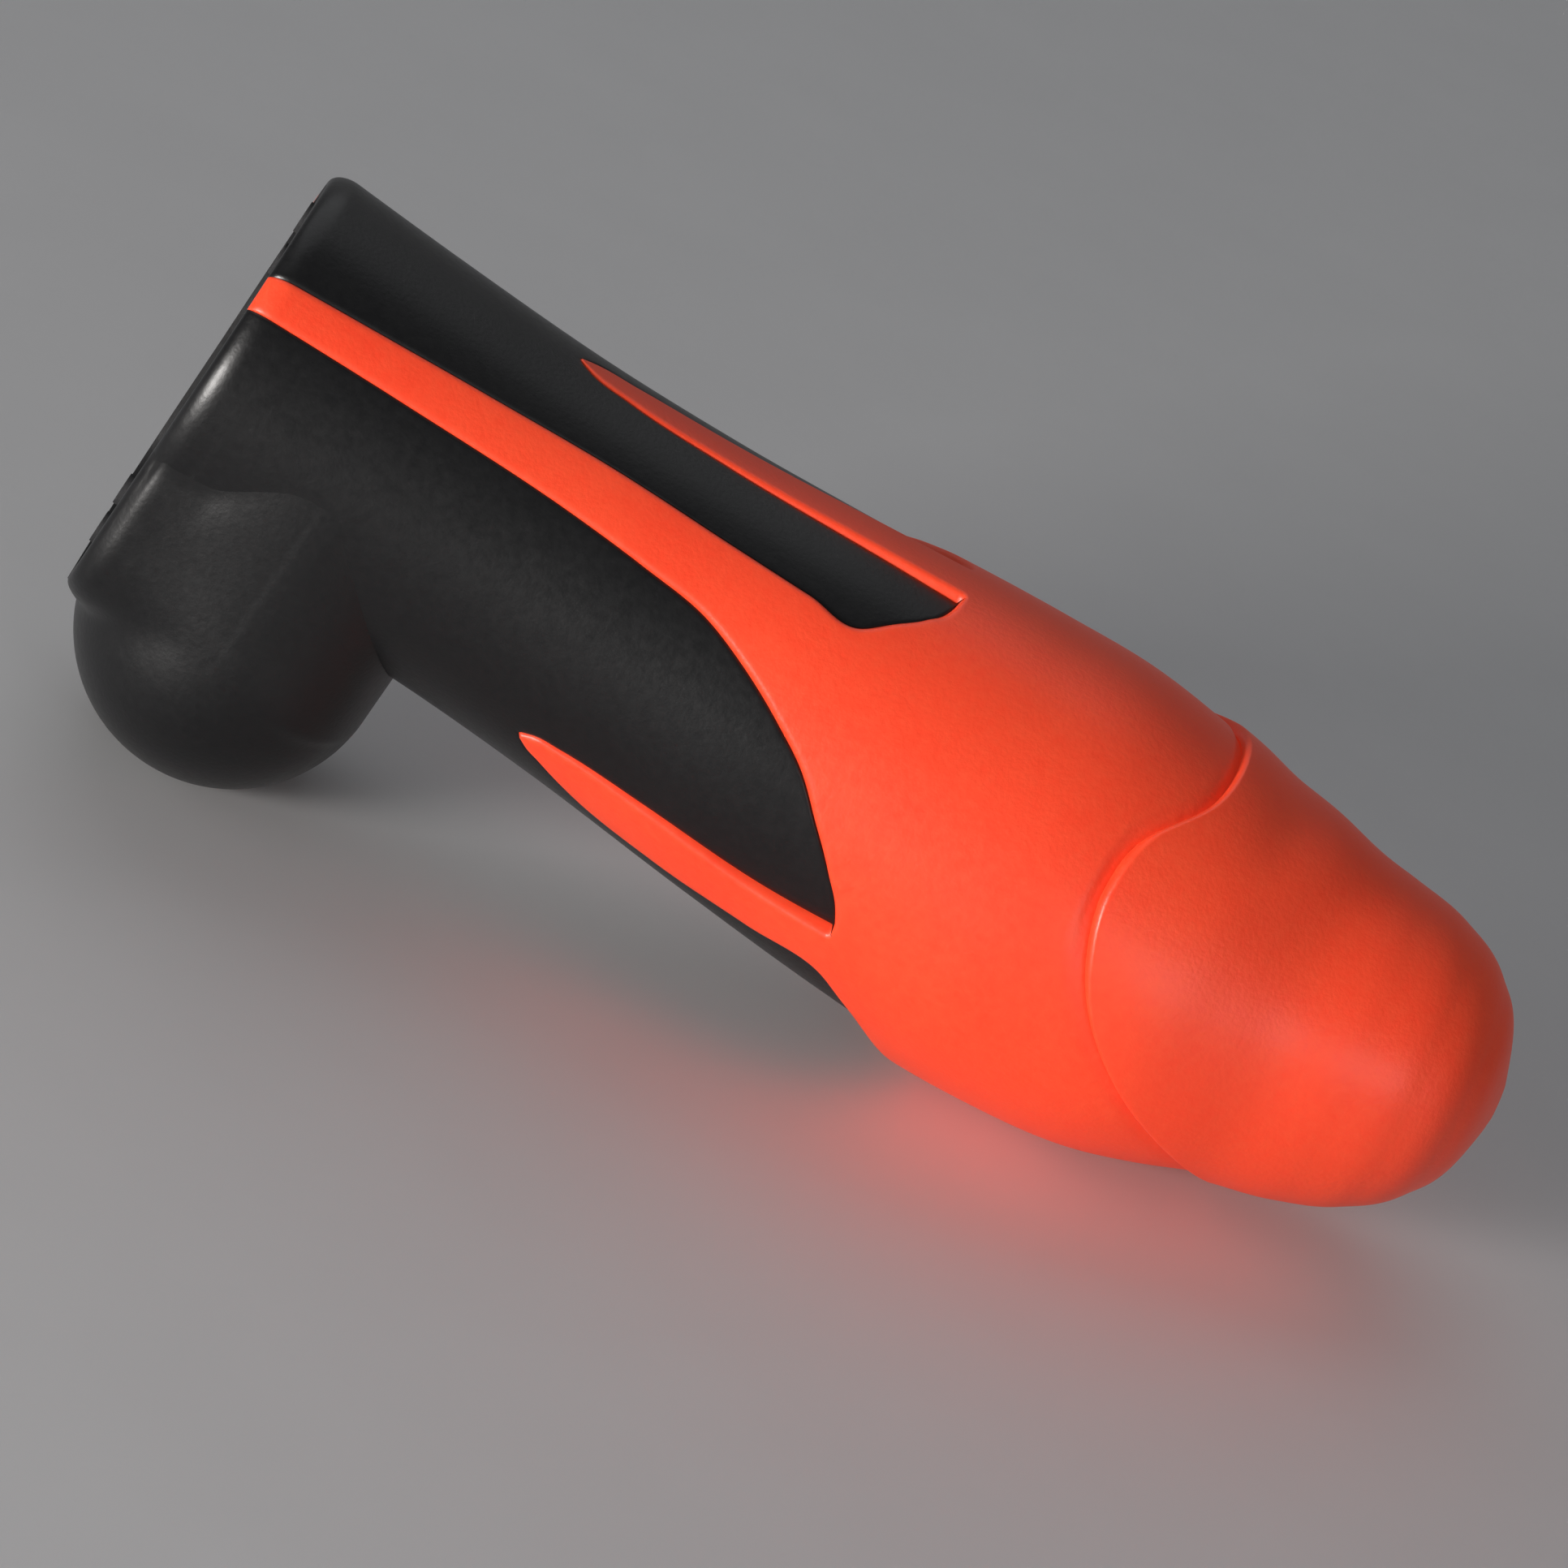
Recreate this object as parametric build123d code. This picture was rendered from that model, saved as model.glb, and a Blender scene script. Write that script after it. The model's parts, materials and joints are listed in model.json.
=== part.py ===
"""One-piece novelty telephone: a long rounded body with a nose cap, a rear lobe and a keypad in its flat base.

The pieces are drawn along the body's own axis: x runs from the flat base (x = 0) to the nose, y across,
z from the belly to the back. At the end they are all turned nose-down together, so that the telephone
lies on its lobe and its belly, and moved so that the origin is at the middle of its footprint.
"""

import math
import os

from build123d import *

# ---- driving sizes, mm ----
base_radius = 25.6         # body radius at the flat base
waist_radius = 24.3        # body radius at its waist
swell_radius = 30.2        # body radius where it swells behind the nose cap
waist_at = 43.0            # waist, from the base
swell_at = 121.0           # swell, from the base
neck_radius = 27.4         # body radius at the neck
neck_at = 140.0            # neck, from the base, where the nose bends towards the back
nose_length = 49.6         # neck to tip, along the nose
nose_bend = 9.5            # turn of the nose towards the back, degrees
rim_step = 0.8             # nose cap proud of the body at its rim
rim_round = 1.8            # rounding of the base's rim
lobe_radius = 20.2         # each half of the lobe
lobe_at = 21.2             # lobe centre, from the base
lobe_drop = 31.0           # lobe centre, below the body axis
lobe_spread = 4.6          # lobe centres, either side of the middle
lobe_flat = 0.6            # depth of the flat that each half of the lobe rests on
base_half_width = 24.0     # flat base below the body
base_drop = 36.0           # lowest edge of the flat base, below the axis
base_corner = 14.0         # corner radius of the flat base

# ---- walls and clearances, mm ----
cover_wall = 2.2           # black covers
core_wall = 1.9            # body shell under the covers
cap_wall = 2.4
spigot_wall = 1.6
spigot_length = 5.0
recess_depth = 2.3         # covers below the orange at their front ends
fit = 0.1                  # between fixed pieces
seat = 0.05                # flat faces that rest on each other
slide_fit = 0.25           # round a key, a plunger or a knob

# ---- base, keypad and switches, mm ----
plate_recess = 1.6
plate_thick = 2.6
plate_border = 1.6
plate_back = plate_recess + plate_thick
plate_radius = base_radius - cover_wall - 4 * fit
key_names = ["1", "2", "3", "4", "5", "6", "7", "8", "9", "star", "0", "hash"]
key_pitch_y = 9.0
key_pitch_z = 6.8
key_width = 6.6
key_height = 4.6
key_middle_z = 1.0
key_round = 0.8
key_sunk = 0.5             # key face below the rim plane
key_travel = 1.2
key_flange = 0.6
key_flange_thick = 0.9
key_stub = 0.45
mat_thick = 0.8
mat_pad = 0.15
board_thick = 1.6
mat_radius = 19.3
keypad_board_radius = 19.9
post_y = 16.2
post_z = 5.0
post_radius = 1.6
plunger_radius = 2.5
plunger_flange_radius = 3.4
plunger_flange_thick = 1.0
plunger_tail_radius = 1.4
plunger_z = -29.1
plunger_travel = 2.5
lever_pivot_y = 6.2
lever_length = 10.0
lever_thick = 0.4
lever_width = 3.6
lever_turn = 22.0
knob_y = 13.0
knob_z = -28.5
knob_travel = 2.5
knob_width = 3.0
knob_height = 2.0
foot_radius = 2.2
foot_proud = 0.3
screw_radius = 0.8
screw_head_radius = 1.9
boss_radius = 2.4

# ---- inner works, mm ----
board_from = 50.0
board_to = 125.0
board_half_width = 16.0
board_top = -4.0
lead_radius = 0.75
receiver_radius = 11.0
receiver_thick = 6.0
receiver_turn = -55.0      # earpiece direction from the nose axis, degrees
receiver_from = 26.0       # start of the earpiece axis, along the nose
receiver_front = 17.0      # receiver's front face, along the earpiece axis
microphone_radius = 4.85
boot_radius = 6.5
jack_width = 12.0
jack_height = 12.0
jack_at = 26.5
jack_back = 7.5
plug_width = 9.8
plug_height = 7.0
plug_depth = 12.0
ballast_radius = 5.5
ballast_length = 20.0
ballast_z = -42.0
wire_hole_radius = 5.0
wire_hole_at = 24.0
gasket_thick = 1.2
receiver_back = receiver_front - receiver_thick
hook_board_x = 15.0
hook_board_half = 18.5
hook_board_low = -32.2
hook_board_high = -25.8
mic_back = 31.0            # back of the microphone's boot, from the base
mic_front = 37.3
boot_floor = 0.6
jack_z = -30.0
trunk_y = 6.0              # leads from the lobe lie this far either side of the middle
trunk_z = -9.0
trunk_end = 58.0
mat_x = plate_back + 2 * seat + key_flange_thick + key_stub + key_travel + mat_pad
keypad_board_x = mat_x + mat_thick + seat
lever_pivot_x = 10.0
lever_reach = (lever_pivot_y + plunger_tail_radius) * math.tan(math.radians(lever_turn))
plunger_tail = lever_pivot_x - lever_reach - lever_thick - 0.35

# ---- stripes, petals and the nose cap's rim, along the body: (x, height or half width) ----
side_stripe_top = [(-1.0, 17.9), (19.0, 15.8), (47.0, 13.8), (66.0, 14.8), (84.4, 16.5)]
upper_petal_front = [(87.6, 14.0), (90.9, 11.2), (93.6, 7.0)]
back_stripe = [(60.0, 3.5), (46.0, 2.7)]
back_stripe_wide = 4.8
back_stripe_from = 38.0
side_stripe_low = [(-1.0, 14.3), (22.0, 14.4), (46.0, 14.4), (58.0, 14.1), (67.4, 13.6)]
side_petal_front = [(74.4, 11.6), (82.1, 8.4), (88.0, 5.0), (92.6, 0.8), (97.5, -4.0), (101.5, -8.0)]
side_petal_tip = (102.6, -10.7)
low_stripe_top = [(92.4, -12.1), (75.0, -12.4), (62.0, -12.9)]
low_stripe_tip = (57.0, -14.4)
low_stripe_low = [(61.0, -17.0), (68.0, -19.3), (80.0, -20.1), (94.0, -19.2), (105.0, -18.4)]
belly_petal_front = [(108.5, -20.2), (113.0, -22.8), (118.0, -26.5), (123.0, -32.0), (128.0, -40.0)]
rim_line = [(133.6, 27.5), (127.9, 22.0), (126.6, 15.0), (128.8, 8.0), (135.1, -1.0), (144.6, -8.4), (155.5, -14.5),
            (163.5, -19.0)]


def body_profile():
    """(x, radius) of the orange surface."""
    return [
        (0.0, base_radius),
        (0.47 * waist_at, waist_radius + 0.4),
        (waist_at, waist_radius),
        (waist_at + 19.0, waist_radius + 0.9),
        (swell_at - 35.0, swell_radius - 2.7),
        (swell_at - 13.0, swell_radius - 0.7),
        (swell_at, swell_radius),
        (swell_at + 11.0, swell_radius - 0.8),
        (neck_at + 4.0, neck_radius - 0.8),
    ]


def cover_profile(inward=0.0):
    """(x, radius) of the black surface: flush at the waist, sunk towards the front ends."""
    sunk = [0.0, 0.0, 0.05, 0.3, 0.9, 1.8, recess_depth, recess_depth, recess_depth]
    return [(x, r - s - inward) for (x, r), s in zip(body_profile(), sunk)]


def nose_profile(inward=0.0):
    """(distance along the nose from the neck, radius), up to the flat spot that closes the tip."""
    full = neck_radius + rim_step
    points = [
        (-8.0, full + 0.2),
        (3.0, full + 0.2),
        (10.0, full - 1.6),
        (18.0, full - 3.8),
        (28.0, full - 5.4),
        (36.0, full - 7.6),
        (43.0, full - 12.0),
        (47.2, full - 17.6),
        (nose_length - 0.3, 3.2),
    ]
    shrink = 1.0 - inward / full
    return [(min(s, 28.0) + max(s - 28.0, 0.0) * shrink, max(r - inward, 2.0)) for s, r in points]


def turned(points, start_round=0.0):
    """Solid of revolution about x under a smooth curve through the points."""
    (x0, r0), (x1, r1) = points[0], points[-1]
    outline = Spline(*points) + Polyline((x1, r1), (x1, 0), (x0, 0), (x0, r0))
    solid = revolve(make_face(outline), Axis.X)
    if start_round:
        rim = solid.edges().filter_by(GeomType.CIRCLE).sort_by(Axis.X)[0]
        solid = fillet(rim, start_round)
    return solid


def on_nose(shape):
    """Places a shape drawn about x into the bent nose."""
    return Pos(neck_at, 0, 0) * Rot(0, -nose_bend, 0) * shape


def head(inward=0.0):
    """Neck and nose together, as far out as the nose cap, drawn in by inward."""
    neck = [(x, r + rim_step - inward) for x, r in body_profile() if x > swell_at - 14]
    return turned(neck) + on_nose(turned(nose_profile(inward)))


def ahead_of_rim(forward=0.0):
    """Everything in front of the nose cap's rim, in side view, the rim moved forward."""
    rim = [(x + forward, z) for x, z in rim_line]
    (top_x, _), (low_x, low_z) = rim[0], rim[-1]
    front_x = low_x + 80
    low_end = (low_x + 12, low_z - 26)
    lines = Spline(*rim)
    lines += Polyline(rim[-1], low_end, (front_x, low_end[1]), (front_x, 45), (top_x, 45), rim[0])
    return extrude(Plane.XZ * make_face(lines), amount=60, both=True)


def rod(x0, x1, radius, y=0.0, z=0.0):
    """Round bar along x."""
    return Pos((x0 + x1) / 2, y, z) * Rot(0, 90, 0) * Cylinder(radius, x1 - x0)


def block(x0, x1, y0, y1, z0, z1):
    """Box between two corners."""
    return Pos((x0 + x1) / 2, (y0 + y1) / 2, (z0 + z1) / 2) * Box(x1 - x0, y1 - y0, z1 - z0)


def across(face_on_yz, x0, x1):
    """Extrudes a face drawn in (y, z) from x0 to x1."""
    return Pos(x0, 0, 0) * extrude(Plane.YZ * face_on_yz, amount=x1 - x0)


def lower_base(inset):
    """(y, z) outline of the flat base below the body, drawn in by inset."""
    half = base_half_width - inset
    low = -(base_drop - inset)
    corner = base_corner - inset
    lines = Polyline((-half, low + corner), (-half, 0), (half, 0), (half, low + corner))
    lines += RadiusArc((half, low + corner), (half - corner, low), corner)
    lines += Line((half - corner, low), (-half + corner, low))
    lines += RadiusArc((-half + corner, low), (-half, low + corner), corner)
    return make_face(lines)


def lobe(inset):
    """Rear lobe, drawn in by inset: two round halves and the flat-backed part that joins them."""
    radius = lobe_radius - inset
    shape = across(lower_base(inset), 0, lobe_at)
    if inset == 0:
        low_rim = shape.edges().group_by(Axis.X)[0].filter_by(lambda e: e.center().Z < -1)
        shape = fillet(low_rim, rim_round)
    for side in (-lobe_spread, lobe_spread):
        shape += Pos(lobe_at, side, -lobe_drop) * Sphere(radius)
        shape += Pos(lobe_at, side, -lobe_drop / 2) * Cylinder(radius, lobe_drop)
    return shape


def upper_region(gap=0.0):
    """Everything above the upper cover's outline, in plan, drawn in by gap."""
    half = [(x, y - gap) for x, y in side_stripe_top]
    front = [half[-1]] + [(x - gap, y - gap / 2) for x, y in upper_petal_front]
    front.append((upper_petal_front[-1][0] - 0.6 - gap, back_stripe_wide + gap))
    slot = [front[-1]] + [(x, y + gap) for x, y in back_stripe]
    slot.append((back_stripe_from - gap, 0))
    lines = Spline(*half) + Spline(*front) + Spline(*slot)
    lines += mirror(lines, Plane.XZ)
    lines += Line((-1.0, half[0][1]), (-1.0, -half[0][1]))
    return Pos(0, 0, 6) * extrude(make_face(lines), amount=40)


def lower_region(gap=0.0):
    """Everything beside and below the lower covers' outline, in side view, drawn in by gap."""
    top = [(x, z - gap) for x, z in side_stripe_low]
    front = [top[-1]] + [(x - gap, z - gap / 2) for x, z in side_petal_front]
    front.append((side_petal_tip[0] - gap, side_petal_tip[1]))
    back = [front[-1]] + [(x, z + gap) for x, z in low_stripe_top]
    back.append((low_stripe_tip[0] - gap, low_stripe_tip[1]))
    low = [back[-1]] + [(x, z - gap) for x, z in low_stripe_low]
    belly = [low[-1]] + [(x - gap, z) for x, z in belly_petal_front]
    lines = Spline(*top) + Spline(*front) + Spline(*back) + Spline(*low) + Spline(*belly)
    lines += Polyline(belly[-1], (-1.0, belly[-1][1]), top[0])
    return extrude(Plane.XZ * make_face(lines), amount=60, both=True)


def lead(points, radius=3.0, section=None):
    """Wire along straight runs joined by arcs."""
    path = FilletPolyline(*points, radius=[radius] * (len(points) - 2))
    return sweep((path ^ 0) * (section or Circle(lead_radius)), path)


# ---- solids that several pieces share ----
outer = turned(body_profile(), rim_round) + on_nose(turned(nose_profile(rim_step)))
core_inward = cover_wall + fit + core_wall
core_outer = turned(cover_profile(cover_wall + fit))
bore_profile = [(x, min(r, swell_radius - 6.4)) for x, r in cover_profile(core_inward)]
bore = turned(bore_profile)
nose_bore = head(cap_wall + fit + spigot_wall)
lobe_outer = lobe(0)
lobe_inner = lobe(cover_wall)
base_pocket = across(lower_base(cover_wall), -1, plate_back + seat)
base_pocket += rod(-1, plate_back + seat, base_radius - cover_wall - fit)
wire_hole = Pos(wire_hole_at, 0, -22) * Cylinder(wire_hole_radius, 16)

speech_z = board_top - board_thick
top_screw = (0.0, 18.6)
low_screws = [(-17.6, -23.5), (17.6, -23.5)]
posts = [(side * post_y, key_middle_z + up * post_z) for side in (-1, 1) for up in (-1, 1)]


def body_shell():
    """Orange body: stripes and front outside, a tube under the covers, and a spigot for the nose cap."""
    shell = outer - ahead_of_rim()
    spigot = head(cap_wall + fit) & ahead_of_rim(-1.0)
    spigot -= ahead_of_rim(spigot_length)
    pocket = turned(cover_profile(-6.0)) - core_outer
    shell -= pocket & upper_region()
    shell -= pocket & lower_region()
    shell += spigot
    shell -= bore + nose_bore
    shell -= rod(-1, plate_back + seat, base_radius - cover_wall - fit)
    for side in (-1, 1):
        near, far = sorted((side * (board_half_width - 1.2), side * 30))
        for z0, z1 in ((speech_z - 1.6, speech_z - seat), (board_top + seat, board_top + 1.6)):
            shell += block(board_from, board_to, near, far, z0, z1) & core_outer
        post = Pos(board_from + 4, side * 11, -14) * Cylinder(boss_radius, 2 * (14 + speech_z - seat))
        post -= Pos(board_from + 4, side * 11, -10) * Cylinder(screw_radius + fit, 12)
        shell += post & core_outer
    top_boss = rod(plate_back + seat, plate_back + 9, boss_radius, *top_screw) & core_outer
    shell += top_boss
    shell -= rod(plate_back, plate_back + 8, screw_radius + fit, *top_screw)
    return shell - wire_hole


def upper_cover():
    """Black cover over the back of the body, slotted for the stripe along the back."""
    layer = turned(cover_profile(), rim_round) - turned(cover_profile(cover_wall))
    return layer & upper_region(fit)


def lower_covers():
    """Left and right black covers, each with its half of the lobe."""
    layer = turned(cover_profile(), rim_round) - turned(cover_profile(cover_wall))
    cover = layer & lower_region(fit)
    cover += lobe_outer - lobe_inner - turned(cover_profile(cover_wall - 0.6))
    inside = lobe_outer - turned(cover_profile(cover_wall))
    for y, z in low_screws:
        boss = rod(plate_back + seat, plate_back + 9, boss_radius, y, z)
        cover += boss & inside
        cover -= rod(plate_back, plate_back + 8, screw_radius + fit, y, z)
    guides = (hook_board_x - 2.0, hook_board_x - seat), (hook_board_x + board_thick + seat, hook_board_x + 3.6)
    for x0, x1 in guides:
        for side in (-1, 1):
            near, far = sorted((side * 17.0, side * 30))
            cover += block(x0, x1, near, far, hook_board_low, hook_board_high) & inside
    for side in (-1, 1):
        near, far = sorted((side * (ballast_length / 2 - 3), side * (ballast_length / 2 - 1)))
        rib = block(lobe_at - 7, lobe_at + 7, near, far, -60, ballast_z + 1)
        rib -= Pos(lobe_at, 0, ballast_z) * Rot(90, 0, 0) * Cylinder(ballast_radius + fit, 60)
        cover += rib & inside
    collar = rod(mic_back + 2, 45, boot_radius + fit + 1.8, 0, -lobe_drop)
    collar -= rod(mic_back, mic_front, boot_radius + fit, 0, -lobe_drop)
    cover += collar & inside
    cover -= rod(mic_back, 60, 1.0, 0, -lobe_drop)
    wide, high = jack_width / 2 + fit, jack_height / 2 + fit
    cover -= block(jack_at - wide, jack_at + wide, jack_back, 40, jack_z - high, jack_z + high)
    cover -= wire_hole
    cover -= base_pocket
    left = split(cover, bisect_by=Plane.XZ.offset(fit / 2), keep=Keep.TOP)
    right = split(cover, bisect_by=Plane.XZ.offset(-fit / 2), keep=Keep.BOTTOM)
    return left, right


def nose_cap():
    """Orange nose cap with the socket and the sound holes of the earpiece."""
    cap = (head() - head(cap_wall)) & ahead_of_rim(fit)
    inside = on_nose(turned(nose_profile())) & ahead_of_rim(spigot_length + 0.6)
    inside += on_nose(turned(nose_profile(cap_wall + fit + spigot_wall + 0.4)))
    socket = earpiece(receiver_back - 2.0, receiver_front + 8, receiver_radius + 1.6)
    cap += socket & inside
    cap -= earpiece(0, receiver_front + gasket_thick + seat, receiver_radius + fit)
    cap -= earpiece(receiver_front, receiver_front + 3.2, receiver_radius - 2.4)
    hole = earpiece(receiver_front, receiver_front + 20, 0.8)
    cap -= hole
    for k in range(6):
        spot = Pos(5.0 * math.cos(k * math.pi / 3), 5.0 * math.sin(k * math.pi / 3), 0)
        cap -= on_earpiece(spot * Pos(0, 0, receiver_front + 10) * Cylinder(0.8, 20))
    return cap


def on_earpiece(shape):
    """Places a shape drawn about z on the earpiece's axis."""
    return on_nose(Pos(receiver_from, 0, 1.0) * Rot(0, 90 - receiver_turn, 0) * shape)


def earpiece_point(distance):
    """Point on the earpiece's axis."""
    return tuple(on_earpiece(Pos(0, 0, distance)).position)


def earpiece(z0, z1, radius):
    """Round bar along the earpiece's axis."""
    return on_earpiece(Pos(0, 0, (z0 + z1) / 2) * Cylinder(radius, z1 - z0))


def base_plate():
    """Oval plate in the flat base, with holes for the keys, the plunger, the knobs and the screws."""
    inset = cover_wall + fit
    plate = across(lower_base(inset), 0, plate_back) + rod(0, plate_back, plate_radius)
    inner = inset + plate_border
    plate -= across(lower_base(inner), -1, plate_recess) + rod(-1, plate_recess, plate_radius - plate_border)
    for y, z in key_places():
        plate -= block(-1, plate_back + 1, y - key_width / 2 - slide_fit, y + key_width / 2 + slide_fit,
                       z - key_height / 2 - slide_fit, z + key_height / 2 + slide_fit)
    plate -= rod(-1, plate_back + 1, plunger_radius + slide_fit, 0, plunger_z)
    for side in (-1, 1):
        half = (knob_width + knob_travel) / 2 + slide_fit
        plate -= block(-1, plate_back + 1, side * knob_y - half, side * knob_y + half,
                       knob_z - knob_height / 2 - slide_fit, knob_z + knob_height / 2 + slide_fit)
    for y, z in posts:
        plate += rod(plate_back - 0.5, keypad_board_x - seat, post_radius, y, z)
        plate -= rod(plate_back + 0.5, keypad_board_x + 1, screw_radius + fit, y, z)
    for y, z in [top_screw] + low_screws:
        plate -= rod(-1, plate_back + 1, screw_radius + 2 * fit, y, z)
        plate -= rod(-1, plate_back - 1.2, screw_head_radius + 2 * fit, y, z)
    return plate


def key_places():
    """(y, z) of the twelve keys, in rows of three from the top, the first at the left of one who faces the base."""
    return [((1 - k % 3) * key_pitch_y, key_middle_z + (1.5 - k // 3) * key_pitch_z) for k in range(12)]


def key(y, z):
    """Key: a rounded cap, a flange behind the plate and a stub over its contact."""
    back = plate_back + seat
    cap = block(key_sunk, back, y - key_width / 2, y + key_width / 2, z - key_height / 2, z + key_height / 2)
    cap = fillet(cap.edges().filter_by(Axis.X), key_round)
    cap = fillet(cap.edges().group_by(Axis.X)[0], key_round / 2)
    wide, high = key_width / 2 + key_flange, key_height / 2 + key_flange
    cap += block(back, back + key_flange_thick, y - wide, y + wide, z - high, z + high)
    return cap + rod(back, back + key_flange_thick + key_stub, 1.5, y, z)


def keypad_mat():
    """Rubber mat with a pad under each key."""
    mat = rod(mat_x, mat_x + mat_thick, mat_radius)
    for y, z in key_places():
        mat += rod(mat_x - mat_pad, mat_x, 2.0, y, z)
    for y, z in posts:
        mat -= rod(mat_x - 1, mat_x + 2, post_radius + slide_fit, y, z)
    return mat - rod(mat_x - 1, mat_x + 2, boss_radius + 0.4, *top_screw)


def keypad_board():
    """Round board behind the mat."""
    board = rod(keypad_board_x, keypad_board_x + board_thick, keypad_board_radius)
    for y, z in posts:
        board -= rod(keypad_board_x - 1, keypad_board_x + 3, screw_radius + 2 * fit, y, z)
    return board - rod(keypad_board_x - 1, keypad_board_x + 3, boss_radius + 0.4, *top_screw)


def hook_plunger():
    """Round-nosed hook button, sunk as deep as the keys, with a tail that reaches its switch's leaf."""
    back = plate_back + seat
    stem = rod(key_sunk, back, plunger_radius, 0, plunger_z)
    stem = fillet(stem.edges().filter_by(GeomType.CIRCLE).sort_by(Axis.X)[0], 1.5)
    stem += rod(back, back + plunger_flange_thick, plunger_flange_radius, 0, plunger_z)
    return stem + rod(back, plunger_tail, plunger_tail_radius, 0, plunger_z)


def hook_lever():
    """Leaf of the hook switch, hinged at one end and held out by the switch's own spring."""
    leaf = block(-lever_thick, 0, -lever_length, 0, -lever_width / 2, lever_width / 2)
    leaf += Pos(0.0, 0.0, 0) * Cylinder(lever_thick, lever_width)
    return Pos(lever_pivot_x, lever_pivot_y, plunger_z) * Rot(0, 0, -lever_turn) * leaf


def hook_switch():
    """Micro switch behind its leaf, with two ears for the leaf's pivot."""
    body = block(lever_pivot_x + 0.6, hook_board_x - seat, -6.4, 6.4, plunger_z - 3.0, plunger_z + 3.0)
    for up in (-1, 1):
        z0, z1 = sorted((plunger_z + up * (lever_width / 2 + 0.2), plunger_z + up * 3.0))
        body += block(lever_pivot_x - 1.0, lever_pivot_x + 0.6, lever_pivot_y - 1.2, lever_pivot_y + 0.2, z0, z1)
    return body


def hook_board():
    """Small board across the lobe that carries the switches."""
    back = hook_board_x + board_thick
    return block(hook_board_x, back, -hook_board_half, hook_board_half, hook_board_low, hook_board_high)


def knob(side):
    """Slide switch knob, at the left end of its slot."""
    y = side * knob_y - knob_travel / 2
    back = plate_back + seat
    wide, high = knob_width / 2, knob_height / 2
    piece = block(0.6, back, y - wide, y + wide, knob_z - high, knob_z + high)
    return piece + block(back, back + 1.1, y - wide - 0.6, y + wide + 0.6, knob_z - high - 0.7, knob_z + high + 0.7)


def slide_switches():
    """Bodies of the two slide switches."""
    x0, x1 = plate_back + seat + 1.2, hook_board_x - seat
    return Compound([block(x0, x1, side * knob_y - 3.2, side * knob_y + 3.2, -30.9, -26.2) for side in (-1, 1)])


def line_jack():
    """Modular jack for the line, its mouth flush with the lobe's far side."""
    jack = block(jack_at - jack_width / 2, jack_at + jack_width / 2, jack_back, 40,
                 jack_z - jack_height / 2, jack_z + jack_height / 2)
    skin = lobe(0.2)
    jack = jack & skin
    mouth = skin.bounding_box().max.Y
    jack -= block(jack_at - plug_width / 2, jack_at + plug_width / 2, mouth - plug_depth - 1.0, 40,
                  jack_z - plug_height / 2, jack_z + plug_height / 2)
    return jack


def speech_board():
    """Main board on its rails."""
    board = block(board_from, board_to, -board_half_width, board_half_width, speech_z, board_top)
    for side in (-1, 1):
        board -= Pos(board_from + 4, side * 11, speech_z) * Cylinder(screw_radius + 2 * fit, 10)
    return board


def upright(x, y, radius, height):
    """Round part standing on the main board."""
    return Pos(x, y, board_top + height / 2) * Cylinder(radius, height)


def screw(length, head=screw_head_radius):
    """Pan-head screw about z, its head's underside at z = 0."""
    top = fillet((Pos(0, 0, 0.55) * Cylinder(head, 1.1)).edges().sort_by(Axis.Z)[-1], 0.5)
    return top + Pos(0, 0, -length / 2) * Cylinder(screw_radius, length)


def screws_along_x(places, x, length, facing):
    """Screws whose heads rest on the plane at x; facing is -1 with the head towards the base."""
    turn = Rot(0, 90 * facing, 0)
    return Compound([Pos(x, y, z) * turn * screw(length) for y, z in places])


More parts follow.
